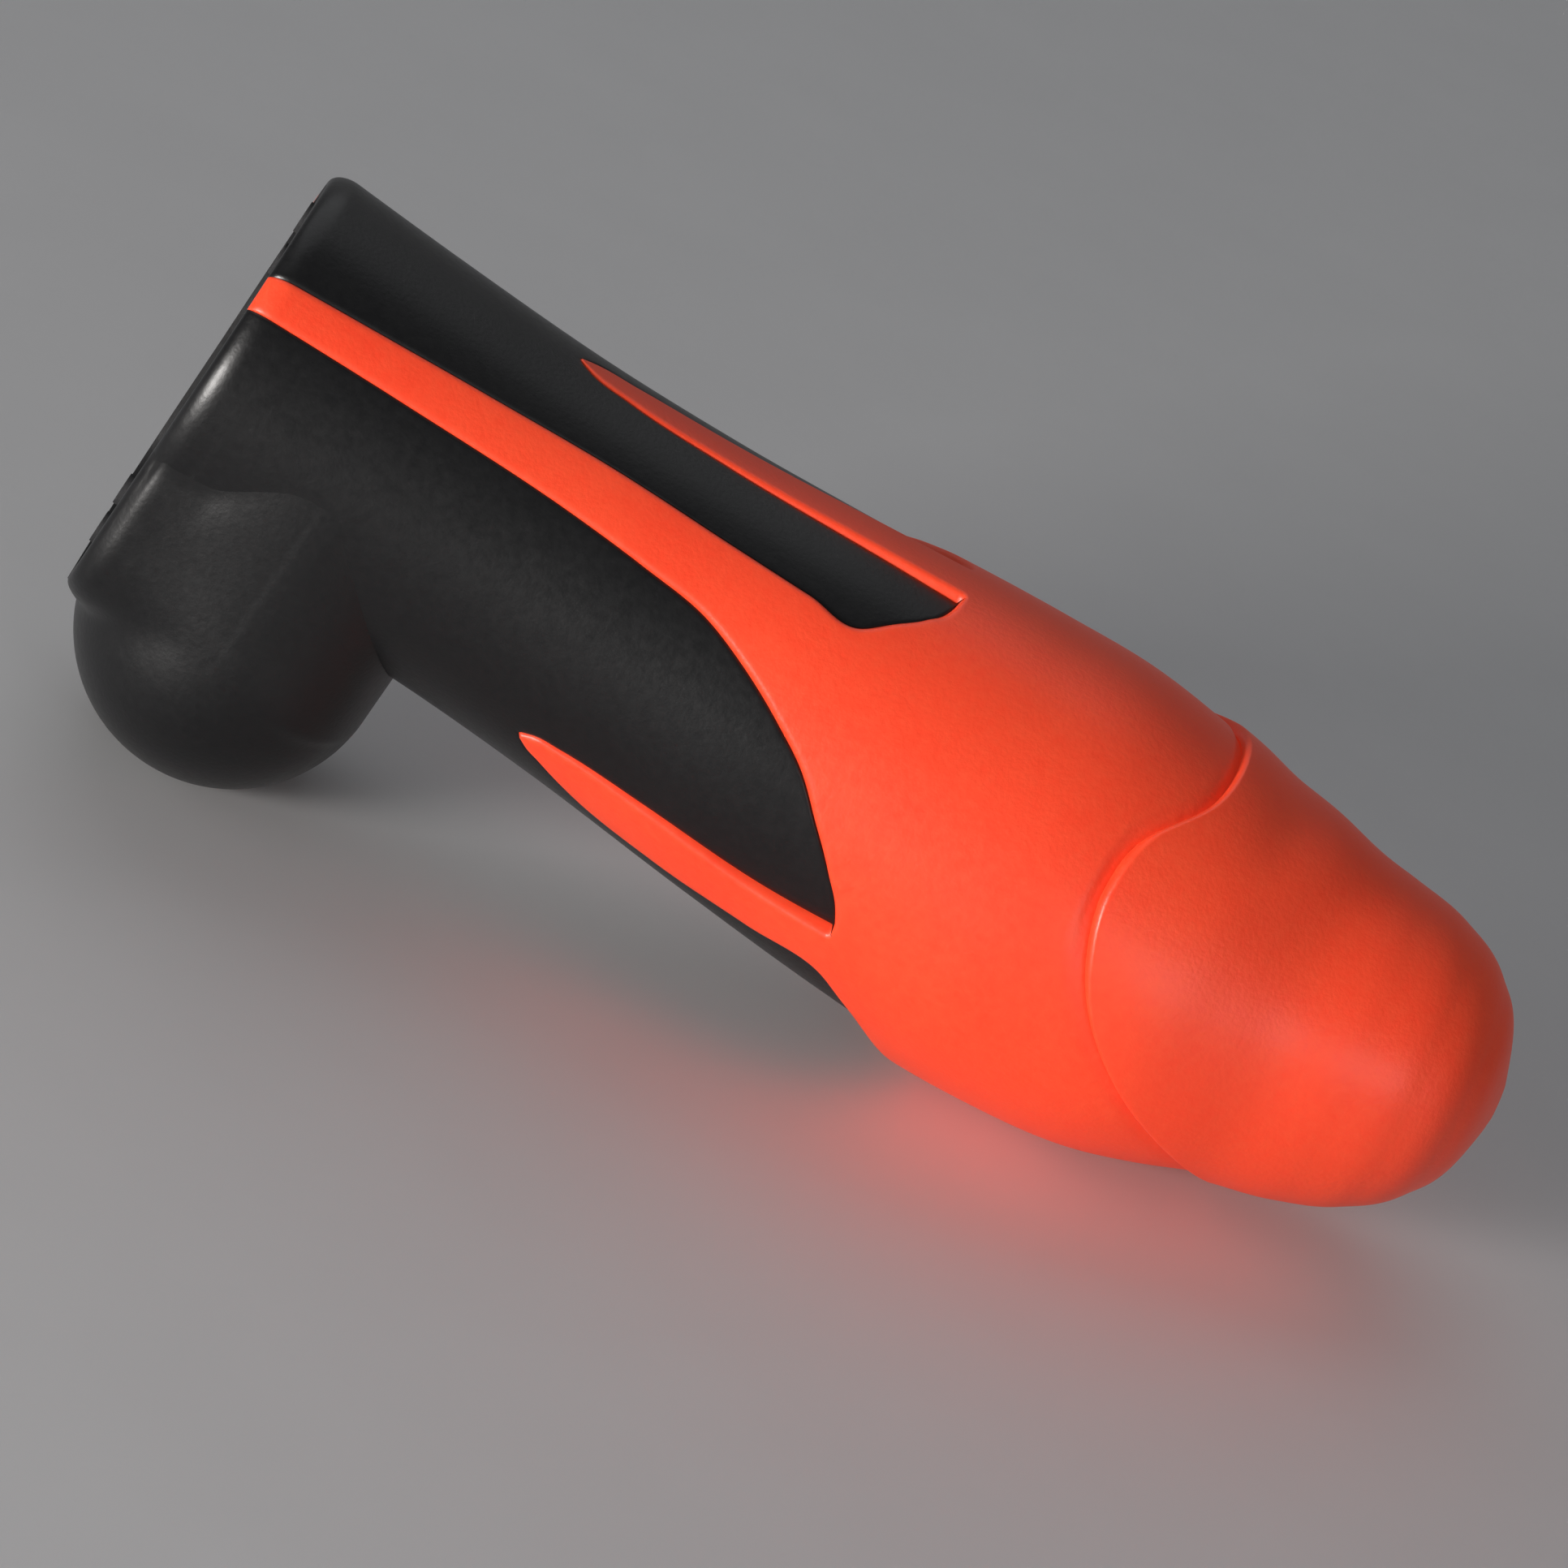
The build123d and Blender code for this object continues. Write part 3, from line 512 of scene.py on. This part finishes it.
@dataclass
class NoseCap:
    """Orange nose cap: rolled rim, low crown past it, blunt tip."""

    form: Form
    edge: float = 1.1
    crown: float = 1.3
    crown_at: float = 20.5
    crown_long: float = 6.5
    under: float = 0.6
    fade_from: float = 4.0
    fade_long: float = 26.0
    closing: float = 0.35
    rows: int = 150
    cols: int = 320

    def grid(self) -> np.ndarray:
        """Grid from under the rim, round its edge and along to the tip.

        Each column runs from the rim to the tip. The first rows roll out from under the rim on a quarter circle.
        The radius is the form's plus the rim's step, which fades over the first third, plus a low crown on the
        back: sin(angle)^3 exp(-((along - crown_at) / crown_long)^2).

        Returns:
            The grid, rows by columns by 3.
        """
        angle = np.linspace(-90.0, 270.0, self.cols, endpoint=False)
        folded = 90.0 - np.abs(90.0 - angle)
        rim = self.form.rim(folded)
        t = np.concatenate([np.linspace(0.0, 0.02, 12), np.linspace(0.02, 1.0, self.rows)[1:]])[:, None]
        x = rim + (self.form.tip_at - rim) * t
        along = x - rim
        roll = roll_off(along, np.full_like(along, self.edge)) * (self.form.rim_step + self.under)
        step = self.form.rim_step * (1.0 - ease((along - self.fade_from) / self.fade_long))
        back = np.clip(np.sin(np.radians(folded)), 0.0, 1.0) ** 3
        crown = self.crown * back * np.exp(-(((along - self.crown_at) / self.crown_long) ** 2))
        r = self.form.radius(x) + step + crown - roll
        closing = np.sqrt(np.clip((self.form.tip_at - x) / self.closing, 0.0, 1.0))
        r = np.where(t > 0.9, r * closing, r)
        return self.form.on_axis(x, r, angle[None, :])

    def build(self, placing: Placing) -> bpy.types.Object:
        """Makes the cap and lets it stand for its CAD node.

        Args:
            placing: carries the points to the frame.

        Returns:
            The cap.
        """
        surface = Surface("nose_cap_skin")
        surface.add_grid(self.grid(), flip=True, closed=True)
        piece = surface.build(placing, ORANGE)
        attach(piece, BODY)
        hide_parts("nose_cap")
        return piece


@dataclass
class Skins:
    """Orange and black skins of the body, cut along the same edge lines."""

    form: Form
    orange_edge: float = 0.9
    black_edge: float = 0.6
    groove: float = 0.3
    below: float = 0.12
    tuck: float = 0.7
    tuck_long: float = 2.2
    cover_end: float = 94.2
    belly: CURVE = field(default_factory=lambda: [
        (57.0, -35.3), (58.0, -38.5), (61.0, -42.3), (68.0, -48.6), (80.0, -48.4), (94.0, -42.6), (105.0, -39.0),
        (108.5, -43.2), (113.0, -49.8), (118.0, -61.5), (122.0, -74.0), (125.0, -90.0),
    ])
    low_top: CURVE = field(default_factory=lambda: [
        (57.0, -35.3), (59.0, -32.2), (62.0, -30.8), (75.0, -28.0), (92.4, -25.6), (102.6, -22.0),
    ])
    side_low: CURVE = field(default_factory=lambda: [
        (0.0, 34.0), (22.0, 35.8), (46.0, 36.3), (58.0, 34.5), (67.4, 31.9), (74.4, 26.2), (82.1, 18.0),
        (88.0, 10.4), (92.6, 1.6), (97.5, -8.0), (101.0, -16.0), (102.6, -22.0),
    ])
    side_top: CURVE = field(default_factory=lambda: [
        (0.0, 46.0), (19.0, 50.3), (30.0, 52.7), (47.0, 55.5), (66.0, 54.6), (77.0, 53.6), (84.4, 53.0),
        (87.6, 59.4), (90.9, 66.3), (93.0, 73.0), (94.0, 80.4),
    ])
    back: CURVE = field(default_factory=lambda: [
        (38.0, 90.0), (40.0, 86.4), (46.0, 83.6), (60.0, 82.0), (75.0, 81.2), (94.0, 80.4),
    ])

    def lines(self, x: np.ndarray) -> list[np.ndarray]:
        """Angles of the five edge lines, each held level past its ends.

        Args:
            x: places along the axis.

        Returns:
            The angles of the belly, low, side and back lines at each place, lowest line first.
        """
        belly = np.where(x < 57.0, -35.3, smooth_curve(self.belly, x))
        belly = np.where(x > 125.0, -90.0, belly)
        low_top = smooth_curve(self.low_top, x)
        side_low = np.maximum(smooth_curve(self.side_low, x), low_top)
        back = smooth_curve(self.back, x)
        side_top = np.minimum(smooth_curve(self.side_top, x), back)
        return [belly, low_top, side_low, side_top, back]

    def strip(self, x: np.ndarray, inset: np.ndarray, low: np.ndarray, high: np.ndarray, gap_low: np.ndarray,
              gap_high: np.ndarray, orange: bool, count: int) -> np.ndarray:
        """One strip of skin between two edge lines on the near side.

        Across the strip the angle runs between the lines. The radius drops along a quarter circle near each edge
        to the groove that both colours share; the drop fades where the neighbouring strip has no width. The skin
        also dips a little as it runs under the nose cap's rim.

        Args:
            x: places along the axis.
            inset: how far inside the form each row lies, at the base's rim.
            low: lower edge line, degrees.
            high: upper edge line, degrees.
            gap_low: width of the strip beyond the lower line, degrees.
            gap_high: width of the strip beyond the upper line, degrees.
            orange: whether this is the orange skin.
            count: columns.

        Returns:
            The grid, rows by columns by 3.
        """
        v = edge_spaced(count)[None, :]
        angle = low[:, None] + (high - low)[:, None] * v
        skin = self.form.radius(x)
        cover = skin - smooth_curve(self.form.sunk, x) - self.below
        own = skin if orange else cover
        full = self.orange_edge if orange else self.black_edge
        drop = own - (cover - self.groove)
        degree = np.radians(1.0) * own
        total = np.zeros_like(angle)
        for line, gap, distance in (
            (low, gap_low, (angle - low[:, None]) * degree[:, None]),
            (high, gap_high, (high[:, None] - angle) * degree[:, None]),
        ):
            run = np.maximum(np.abs(np.gradient(x)), 1e-3)
            slant = np.where(inset > 0, 1.0, np.cos(np.arctan(np.gradient(line) / run * degree)))
            reach = np.minimum(full, 0.45 * (high - low) * degree * slant)
            fade = ease(gap * degree)
            total = np.maximum(
                total, (drop * fade)[:, None] * roll_off(distance * slant[:, None], reach[:, None] + 1e-4)
            )
        turns = np.linspace(-90.0, 90.0, 181)
        short = np.interp(angle, turns, self.form.rim(turns)) - x[:, None]
        tuck = self.tuck * (1.0 - ease(short / self.tuck_long))
        return self.form.on_axis(x[:, None], (own - inset)[:, None] - total - tuck, angle)

    @staticmethod
    def both_sides(surface: Surface, grid: np.ndarray) -> None:
        """Adds a near-side grid and its mirror image.

        Args:
            surface: what they are added to.
            grid: the near side's points.
        """
        surface.add_grid(grid, flip=True)
        surface.add_grid(grid * np.array([1.0, -1.0, 1.0]))

    def build(self, placing: Placing) -> list[bpy.types.Object]:
        """Makes the orange skin and the black skin over the back.

        Args:
            placing: carries the points to the frame.

        Returns:
            The two pieces.
        """
        x, inset, bounds, width = self.layout()
        orange = Surface("orange_skin")
        for k, count in ((1, 20), (3, 30), (5, 16)):
            above = width[k + 1] if k < 5 else np.zeros_like(x)
            grid = self.strip(x, inset, bounds[k], bounds[k + 1], width[k - 1], above, True, count)
            self.both_sides(orange, grid)
        body = orange.build(placing, ORANGE)
        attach(body, BODY)
        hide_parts("body_shell")
        black = Surface("back_cover_skin")
        near = x <= self.cover_end
        grid = self.strip(x[near], inset[near], bounds[4][near], bounds[5][near], width[3][near],
                          2 * width[5][near], False, 26)
        self.both_sides(black, grid)
        cover = black.build(placing, BLACK)
        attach(cover, BODY)
        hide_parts("upper_cover")
        return [body, cover]

    def layout(self) -> tuple[np.ndarray, np.ndarray, list[np.ndarray], list[np.ndarray]]:
        """Lays out the rows that every strip shares.

        Returns:
            Places along the body, their insets at the rim, the edge lines there and the widths between them.
        """
        ring_x, ring_inset = self.form.ring()
        rows = np.concatenate([
            np.linspace(3.4, 36.0, 50)[:-1], np.linspace(36.0, 44.0, 30)[:-1], np.linspace(44.0, 80.0, 60)[:-1],
            np.linspace(80.0, 126.0, 150)[:-1], np.linspace(126.0, 172.0, 60),
        ])
        x = np.concatenate([ring_x, rows])
        inset = np.concatenate([ring_inset, np.zeros_like(rows)])
        bounds = [np.full_like(x, -90.0), *self.lines(x), np.full_like(x, 90.0)]
        return x, inset, bounds, [bounds[k + 1] - bounds[k] for k in range(6)]


@dataclass
class LowerCovers:
    """Left and right black covers, each with its half of the lobe, and the collar round the line jack."""

    skins: Skins
    lobe_at: float = 21.2
    lobe_low: float = -31.0
    lobe_radius: float = 20.05
    spread: float = 4.6
    half: float = 23.9
    drop: float = 35.6
    blend: float = 2.0
    seam: float = 0.3
    hidden: float = 0.6
    soft: float = 3.1
    square: float = 8.0
    cover_end: float = 125.2
    rim_end: float = 6.0
    centre_at_base: float = -18.0
    sinks_from: float = 8.0
    flare: float = 0.7
    chin: float = 2.6
    top: float = 2.0
    fillet: float = 1.2
    jack_half: float = 6.3

    def lobe(self) -> np.ndarray:
        """Near half of the lobe and of the flat base that grows into it.

        Each row is a section square to the body. From a centre that sinks as the rows run forward, each ray goes
        out to the smooth maximum of three outlines: a slot shape whose radius is the ball's section there, a rounded
        box for the flat base and for the neck over the ball, and the body's own circle. A rounded box's distance is
        ((u / a)^p + (v / b)^p)^(-1 / p). The rim's insets shape the first rows, and the last row closes the front.

        Returns:
            The grid, rows by columns by 3.
        """
        ring_x, ring_inset = self.skins.form.ring()
        turn = np.linspace(0.0, math.pi / 2, 60)
        x = np.concatenate([
            ring_x, np.linspace(3.4, self.lobe_at, 36)[:-1], self.lobe_at + self.lobe_radius * np.sin(turn),
            [self.lobe_at + self.lobe_radius],
        ])[:, None]
        inset = np.concatenate([ring_inset, np.zeros(len(x) - len(ring_inset))])[:, None]
        sunk = ease((x - self.sinks_from) / (self.lobe_at + self.lobe_radius - self.sinks_from))
        centre = self.centre_at_base + (self.lobe_low - self.centre_at_base) * sunk
        top = np.degrees(np.arctan2(1.0 - centre, 20.0))
        angle = -90.0 + (top + 90.0) * np.linspace(0.0, 1.0, 130)[None, :]
        u, w = np.cos(np.radians(angle)), np.sin(np.radians(angle))
        ball = np.sqrt(np.maximum(self.lobe_radius**2 - (x - self.lobe_at) ** 2, 0.0))
        down = self.lobe_low - centre
        toward = self.spread * u + down * w
        inside = toward**2 - self.spread**2 - down**2 + ball**2
        slot = np.where(inside > 0, toward + np.sqrt(np.maximum(inside, 0.0)), 0.0)
        flat = (ball - down) / np.maximum(-w, 1e-3)
        slot = np.where((w < 0) & (flat * u <= self.spread), flat, slot)
        wide = np.where(x < self.lobe_at, self.half + self.flare * ease((x - 6.0) / 14.0), self.spread + ball)
        low = np.minimum(-self.drop + self.chin * ease((x - self.sinks_from) / 14.0), centre - self.top)
        power = np.where(w < 0, self.soft, self.soft + (self.square - self.soft) * ease((x - self.sinks_from) / 12.0))
        tall = np.where(w < 0, centre - low, self.top - centre)
        box = ((u / wide) ** power + (np.abs(w) / tall) ** power) ** (-1.0 / power)
        body = self.skins.form.radius(x) - self.hidden
        reach = -centre * w + np.sqrt(np.maximum(body**2 - (centre * u) ** 2, 0.0))
        reach = reach * (1.0 - ease((x - 24.0) / 12.0))
        share = self.blend * np.clip(ball / 6.0, 0.05, 1.0)
        t = smooth_max(smooth_max(slot, box, share**2), reach, self.fillet * share) - inset
        t = t - self.seam * roll_off(t * u, np.full_like(t, 0.5))
        t[-1] = 0.0
        return np.stack(np.broadcast_arrays(x, -t * u, centre + t * w), axis=-1)

    def collar(self) -> Surface:
        """Square collar round the jack, standing on the lobe's far side.

        Round it runs a square with soft corners, |cos|^(1/4) by |sin|^(1/4); across it the square's size and the
        height over the ball follow a flat-topped profile. The ball's side gives the height it stands on.

        Returns:
            The surface.
        """
        turn = np.linspace(0.0, 2 * math.pi, 120, endpoint=False)[None, :]
        size = np.array([6.0, 6.0, 6.15, 6.45, 6.9, 7.2, 7.35, 7.4])[:, None]
        lift = np.array([-1.6, 0.2, 0.38, 0.45, 0.45, 0.36, 0.15, -0.6])[:, None]
        c, s = np.cos(turn), np.sin(turn)
        x = JACK_AT + size * np.sign(c) * np.abs(c) ** 0.25
        z = JACK_Z + size * np.sign(s) * np.abs(s) ** 0.25
        under = np.minimum(z - self.lobe_low, 0.0)
        side = np.sqrt(np.maximum((self.lobe_radius + 0.2) ** 2 - (x - self.lobe_at) ** 2 - under**2, 1.0))
        y = self.spread + side + 0.15 + lift
        surface = Surface("jack_collar")
        surface.add_grid(np.stack(np.broadcast_arrays(x, y, z), axis=-1), closed=True)
        return surface

    def build(self, placing: Placing) -> list[bpy.types.Object]:
        """Makes both covers and the collar.

        Args:
            placing: carries the points to the frame.

        Returns:
            The pieces.
        """
        x, inset, bounds, width = self.skins.layout()
        near = x <= self.cover_end
        behind = np.where(x < self.rim_end, -20.0, -90.0)
        lobe = self.lobe()
        centre = (lobe[:-1, :-1] + lobe[1:, 1:]) / 2
        off_jack = ~(
            (np.abs(centre[..., 0] - JACK_AT) < self.jack_half)
            & (np.abs(centre[..., 2] - JACK_Z) < self.jack_half)
            & (np.abs(centre[..., 1]) > 10.0)
        )
        made = []
        for side in (-1, 1):
            node = next(
                n for n in ("lower_cover_left", "lower_cover_right") if (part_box(n)[0].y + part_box(n)[1].y) * side > 0
            )
            surface = Surface(node + "_skin")
            mirror = np.array([1.0, -side, 1.0])
            wide = np.full_like(x, 2.0)
            for k, gap in ((0, wide), (2, width[1])):
                low = np.maximum(bounds[k], behind)
                high = np.maximum(bounds[k + 1], low)
                grid = self.skins.strip(x[near], inset[near], low[near], high[near], gap[near],
                                        width[k + 1][near], False, 40)
                surface.add_grid(grid * mirror, flip=side < 0)
            surface.add_grid(lobe * mirror, flip=side < 0, keep=off_jack if side > 0 else None)
            piece = surface.build(placing, BLACK)
            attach(piece, BODY)
            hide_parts(node)
            made.append(piece)
        collar = self.collar().build(placing, BLACK)
        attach(collar, BODY)
        return [*made, collar]


@dataclass
class Keypad:
    """Figures on the keys of the base."""

    size: float = 3.0
    star: float = 1.5
    half_thick: float = 0.03
    raise_by: float = 0.04
    face_within: float = 0.02

    def build(self, nodes: dict[str, bpy.types.Object], placing: Placing) -> list[bpy.types.Object]:
        """Puts a plain figure on each key, riding with it.

        Args:
            nodes: the CAD nodes by name.
            placing: carries body points to the frame.

        Returns:
            The figures.
        """
        made = []
        marks = {**{f"key_{n}": str(n) for n in range(10)}, "key_star": "*", "key_hash": "#"}
        turn = Matrix((
            (0.0, placing.up[0], -placing.along[0]),
            (-1.0, 0.0, 0.0),
            (0.0, placing.up[2], -placing.along[2]),
        ))
        for node, mark in marks.items():
            text = bpy.data.curves.new(f"figure_{node}", "FONT")
            text.body = mark
            text.size = self.size * MM * (self.star if mark == "*" else 1.0)
            text.extrude = self.half_thick * MM
            text.align_x, text.align_y = "CENTER", "CENTER"
            piece = bpy.data.objects.new(f"figure_{node}", text)
            bpy.context.scene.collection.objects.link(piece)
            mesh = bpy.data.meshes.new_from_object(piece)
            bpy.data.objects.remove(piece)
            co = np.empty(len(mesh.vertices) * 3, np.float32)
            mesh.vertices.foreach_get("co", co)
            co = co.reshape(-1, 3)
            middle = (co.min(axis=0) + co.max(axis=0)) / 2
            co = (co - [middle[0], middle[1], 0.0]) @ np.array(turn).T
            points = np.empty(len(nodes[node].data.vertices) * 3, np.float32)
            nodes[node].data.vertices.foreach_get("co", points)
            points = points.reshape(-1, 3)
            depth = (points - placing.origin) @ placing.along
            face = points[depth < depth.min() + self.face_within * MM]
            centre = (face.min(axis=0) + face.max(axis=0)) / 2
            co = co + centre - placing.along * self.raise_by * MM
            mesh.vertices.foreach_set("co", co.astype(np.float32).reshape(-1))
            mesh.update()
            mesh.materials.clear()
            mesh.materials.append(FIGURE.material())
            piece = bpy.data.objects.new(f"figure_{node}", mesh)
            bpy.context.scene.collection.objects.link(piece)
            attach(piece, nodes[node]["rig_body"])
            made.append(piece)
        return made


@dataclass
class Carried:
    """CAD pieces that keep their shape and get their finish."""

    def dress(self, nodes: dict[str, bpy.types.Object], record: dict) -> None:
        """Gives each CAD node the finish of its slot in the record.

        Args:
            nodes: the CAD nodes by name.
            record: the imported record.
        """
        slots = {part["node"]: part["material_slot"] for part in record["subparts"]}
        for name, node in nodes.items():
            finish = SLOT_FINISH[slots[name]].material()
            if not node.data.materials:
                node.data.materials.append(finish)
            for k in range(len(node.data.materials)):
                node.data.materials[k] = finish


@dataclass(frozen=True)
class Lamp:
    """One soft square light aimed at the object: where it stands in metres, its side, watts and colour."""

    name: str
    spot: tuple[float, float, float]
    size: float
    power: float
    colour: tuple[float, float, float]

    def build(self) -> None:
        """Makes the light."""
        data = bpy.data.lights.new(self.name, "AREA")
        data.shape = "SQUARE"
        data.size = self.size
        data.energy = self.power
        data.color = self.colour
        lamp = bpy.data.objects.new(self.name, data)
        lamp.location = self.spot
        lamp.rotation_mode = "QUATERNION"
        lamp.rotation_quaternion = (Vector((0.0, 0.0, 0.035)) - Vector(self.spot)).to_track_quat("-Z", "Y")
        bpy.context.scene.collection.objects.link(lamp)


LAMPS = (
    Lamp("key_light", (-0.75, -0.85, 0.1), 0.35, 19.0, (1.0, 0.97, 0.94)),
    Lamp("front_light", (0.75, -1.0, 0.12), 0.5, 2.5, (1.0, 0.98, 0.96)),
    Lamp("top_light", (-0.4, 0.9, 1.5), 1.6, 4.0, (0.96, 0.98, 1.0)),
)


@dataclass
class Studio:
    """Floor, lights and camera."""

    turn: float = 36.2
    place: tuple[float, float, float] = (-11.0, -790.4, 336.2)
    aim: tuple[float, float, float] = (90.0, 0.0, 0.0)
    focal: float = 8409.0
    middle: tuple[float, float] = (1012.15, 900.83)
    image: float = 1932.0

    def floor(self) -> bpy.types.Object:
        """Large pale floor that curves up behind the object.

        A profile of (y, z) points, level and then rising on a quarter circle, carried along x.

        Returns:
            The floor.
        """
        level = np.linspace(-2.5, 1.6, 24)
        arc = np.linspace(0.0, math.pi / 2, 20)[1:]
        y = np.concatenate([level, 1.6 + 1.2 * np.sin(arc), [2.8]])
        z = np.concatenate([np.zeros(24), 1.2 - 1.2 * np.cos(arc), [3.2]])
        across = np.linspace(-4.0, 4.0, 30)
        grid = np.stack(np.broadcast_arrays(across[:, None], y[None, :], z[None, :]), axis=-1) / MM
        surface = Surface("studio_floor")
        surface.add_grid(grid)
        level_placing = Placing(np.zeros(3), np.array([1.0, 0.0, 0.0]), np.array([0.0, 0.0, 1.0]))
        piece = surface.build(level_placing, FLOOR)
        return piece

    def camera(self, placing: Placing) -> bpy.types.Object:
        """Camera held in body coordinates and placed with the body.

        Args:
            placing: carries the camera's place and axes to the frame.

        Returns:
            The camera.
        """
        centre = placing.place(np.array(self.aim))
        spot = placing.place(np.array(self.place))
        away = np.array(self.place) - np.array(self.aim)
        away /= np.linalg.norm(away)
        right = np.cross([0.0, 0.0, 1.0], away)
        right /= np.linalg.norm(right)
        up = np.cross(away, right)
        roll = math.radians(self.turn)
        right, up = math.cos(roll) * right + math.sin(roll) * up, -math.sin(roll) * right + math.cos(roll) * up
        axes = [placing.place(v) - placing.origin for v in (right, up, away)]
        axes = [a / np.linalg.norm(a) for a in axes]
        data = bpy.data.cameras.new("camera")
        data.sensor_fit = "HORIZONTAL"
        data.sensor_width = 36.0
        data.lens = self.focal / self.image * 36.0
        data.shift_x = (self.image / 2 - self.middle[0]) / self.image
        data.shift_y = (self.middle[1] - self.image / 2) / self.image
        data.clip_start, data.clip_end = 0.01, 20.0
        camera = bpy.data.objects.new("camera", data)
        camera.matrix_world = Matrix((
            (axes[0][0], axes[1][0], axes[2][0], spot[0]),
            (axes[0][1], axes[1][1], axes[2][1], spot[1]),
            (axes[0][2], axes[1][2], axes[2][2], spot[2]),
            (0.0, 0.0, 0.0, 1.0),
        ))
        bpy.context.scene.collection.objects.link(camera)
        bpy.context.scene.camera = camera
        LOG.info("camera stands %.3f m from its aim", float(np.linalg.norm(spot - centre)))
        return camera

    def build(self, placing: Placing) -> None:
        """Makes the floor, the lights, the surroundings and the camera.

        Args:
            placing: carries the camera to the frame.
        """
        self.floor()
        for lamp in LAMPS:
            lamp.build()
        world = bpy.data.worlds.new("studio_air")
        world.use_nodes = True
        air = world.node_tree.nodes["Background"].inputs
        air["Color"].default_value = (0.9, 0.92, 0.95, 1.0)
        air["Strength"].default_value = 0.12
        bpy.context.scene.world = world
        bpy.context.scene.view_settings.view_transform = "Standard"
        self.camera(placing)


def main() -> None:
    """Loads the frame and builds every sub-assembly in order."""
    logging.basicConfig(level=logging.INFO, format="%(name)s: %(message)s")
    for scene_object in list(bpy.data.objects):
        bpy.data.objects.remove(scene_object)
    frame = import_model()
    placing = Placing.from_record(frame["record"])
    form = Form()
    Carried().dress(frame["nodes"], frame["record"])
    LOG.info("%d CAD pieces have their finish", len(frame["nodes"]))
    skins = Skins(form)
    for piece in (NoseCap(form).build(placing), *skins.build(placing), *LowerCovers(skins).build(placing)):
        LOG.info("%s: %d faces", piece.name, len(piece.data.polygons))
    figures = Keypad().build(frame["nodes"], placing)
    LOG.info("%d figures on the keys", len(figures))
    Studio().build(placing)


if __name__ == "__main__":
    main()
